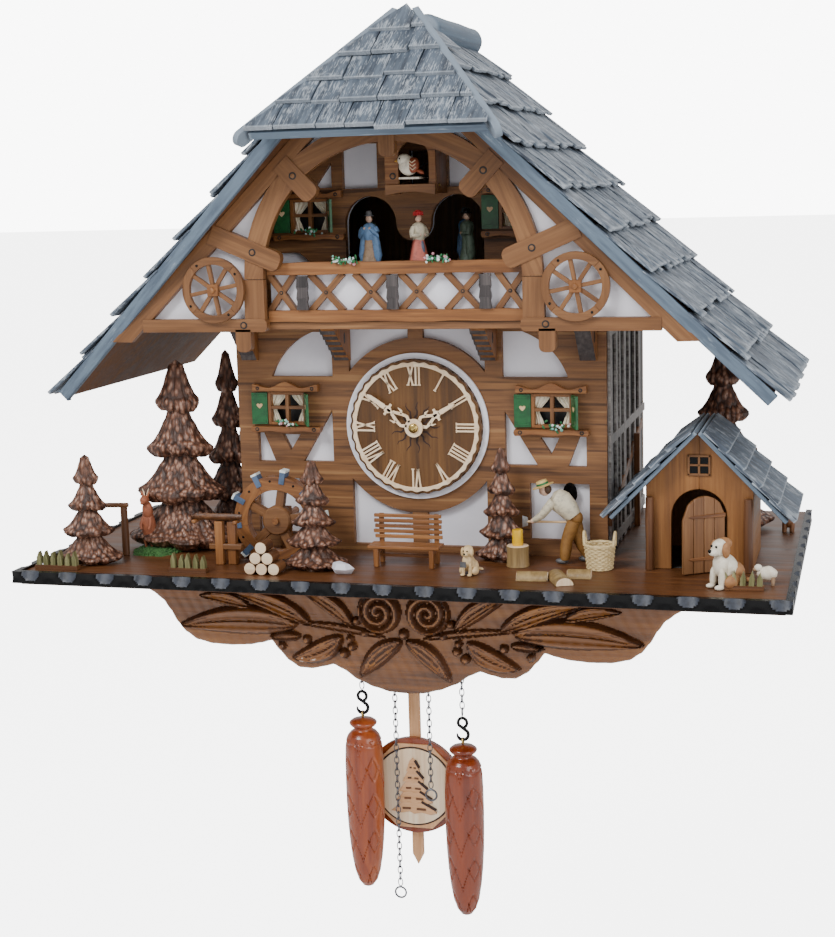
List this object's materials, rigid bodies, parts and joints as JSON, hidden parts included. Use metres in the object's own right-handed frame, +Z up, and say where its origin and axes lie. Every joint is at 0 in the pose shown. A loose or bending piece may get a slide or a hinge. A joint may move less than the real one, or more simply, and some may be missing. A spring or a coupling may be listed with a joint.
{
  "type": "cuckoo clock",
  "caption": "Chalet wall clock on a carved platform: shingled gable roof, arched balcony with turning dancers, cuckoo, mill wheel, wood chopper, pendulum and cone weights.",
  "frame": {"origin": "on the rear face of the back board, at the middle of the clock and the height of the platform top", "axes": "+X to the viewer's right, +Y into the wall, +Z up"},
  "size_m": [0.45, 0.247, 0.5395],
  "materials": {
    "walnut_board": "satin lacquer",
    "black_lacquer": "gloss lacquer",
    "carved_dark_wood": "glossy stained carving",
    "plain_wood": "satin",
    "dark_wall": "matte stain",
    "weathered_timber": "dry brushed",
    "white_panel": "matte white",
    "oak_veneer": "satin",
    "slate_paint": "dry brushed paint",
    "cream_wood": "matte",
    "green_paint": "satin paint",
    "flower_paint": "matte paint",
    "painted_figures": "matte paint",
    "red_brown_cone": "gloss lacquer",
    "chain_metal": "plated",
    "black_plastic": "fine texture",
    "motor_steel": "satin"
  },
  "bodies": {
    "root": {"base_platform": "walnut_board", "platform_edging": "black_lacquer", "apron_carving": "carved_dark_wood", "chain_anchors": "plain_wood", "back_panel": "plain_wood", "side_walls": "dark_wall", "side_timbering": "weathered_timber", "facade_panel": "white_panel", "facade_timber": "oak_veneer", "upper_wall": "oak_veneer", "balcony_floor": "oak_veneer", "gable_panel": "white_panel", "gable_truss": "oak_veneer", "balcony_rails": "oak_veneer", "balcony_brackets": "oak_veneer", "cart_wheels": "oak_veneer", "roof_boards": "plain_wood", "bargeboards": "slate_paint", "shingles_left": "slate_paint", "shingles_right": "slate_paint", "hip_roof": "slate_paint", "ridge_log": "slate_paint", "dial_plate": "oak_veneer", "dial_ring": "white_panel", "dial_numerals": "cream_wood", "window_frames": "oak_veneer", "window_shutters": "green_paint", "window_curtains": "cream_wood", "flower_clusters": "flower_paint", "cuckoo_housing": "oak_veneer", "water_trough": "plain_wood", "fir_trees": "carved_dark_wood", "grass_tufts": "flower_paint", "garden_bench": "plain_wood", "log_pile": "cream_wood", "yard_animals": "painted_figures", "log_basket": "cream_wood", "chopping_block": "cream_wood", "chopper_legs": "painted_figures", "shed_walls": "oak_veneer", "shed_roof": "slate_paint", "shed_door": "oak_veneer", "porch_timbers": "plain_wood", "quartz_movement": "black_plastic", "battery_pack": "black_plastic", "sound_box": "black_plastic", "drive_motors": "motor_steel"},
    "minute_hand": {"minute_hand": "cream_wood"},
    "hour_hand": {"hour_hand": "cream_wood"},
    "carousel": {"carousel": "plain_wood", "dancers": "painted_figures"},
    "water_wheel": {"water_wheel": "plain_wood"},
    "cuckoo": {"cuckoo_bird": "painted_figures"},
    "chopper": {"chopper_torso": "painted_figures"},
    "pendulum": {"pendulum_rod": "cream_wood", "pendulum_bob": "plain_wood"},
    "left_weight": {"weight_left": "red_brown_cone"},
    "right_weight": {"weight_right": "red_brown_cone"},
    "left_chain": {"chain_left": "chain_metal"},
    "right_chain": {"chain_right": "chain_metal"}
  },
  "joints": [
    {"name": "minute_turn", "type": "hinge", "parent": "root", "child": "minute_hand", "pos_m": [0, -0.16, 0.077], "axis": [0, 1, 0], "continuous": true},
    {"name": "hour_turn", "type": "hinge", "parent": "root", "child": "hour_hand", "pos_m": [0, -0.16, 0.077], "axis": [0, 1, 0], "continuous": true},
    {"name": "carousel_turn", "type": "hinge", "parent": "root", "child": "carousel", "pos_m": [0, -0.141, 0.171], "axis": [0, 0, 1], "continuous": true},
    {"name": "mill_turn", "type": "hinge", "parent": "root", "child": "water_wheel", "pos_m": [-0.081, -0.181, 0.023], "axis": [0, 1, 0], "continuous": true},
    {"name": "cuckoo_slide", "type": "slide", "parent": "root", "child": "cuckoo", "axis": [0, 1, 0], "range_m": [0, 0.014]},
    {"name": "chopper_bend", "type": "hinge", "parent": "root", "child": "chopper", "pos_m": [0.097, -0.169, 0.025], "axis": [0, 1, 0], "range_deg": [0, 22]},
    {"name": "pendulum_swing", "type": "hinge", "parent": "root", "child": "pendulum", "pos_m": [-0.0045, -0.163, -0.014], "axis": [0, 1, 0], "range_deg": [-5, 5]},
    {"name": "left_weight_swing", "type": "hinge", "parent": "root", "child": "left_weight", "pos_m": [-0.031, -0.184, -0.014], "axis": [0, 1, 0], "range_deg": [-1, 1]},
    {"name": "right_weight_swing", "type": "hinge", "parent": "root", "child": "right_weight", "pos_m": [0.031, -0.184, -0.014], "axis": [0, 1, 0], "range_deg": [-1, 1]},
    {"name": "left_chain_swing", "type": "hinge", "parent": "root", "child": "left_chain", "pos_m": [-0.0105, -0.184, -0.014], "axis": [0, 1, 0], "range_deg": [-1, 1]},
    {"name": "right_chain_swing", "type": "hinge", "parent": "root", "child": "right_chain", "pos_m": [0.0105, -0.184, -0.014], "axis": [0, 1, 0], "range_deg": [-1, 1]}
  ],
  "couplings": [
    {"joint": "hour_turn", "follows": "minute_turn", "ratio": 0.083333}
  ]
}
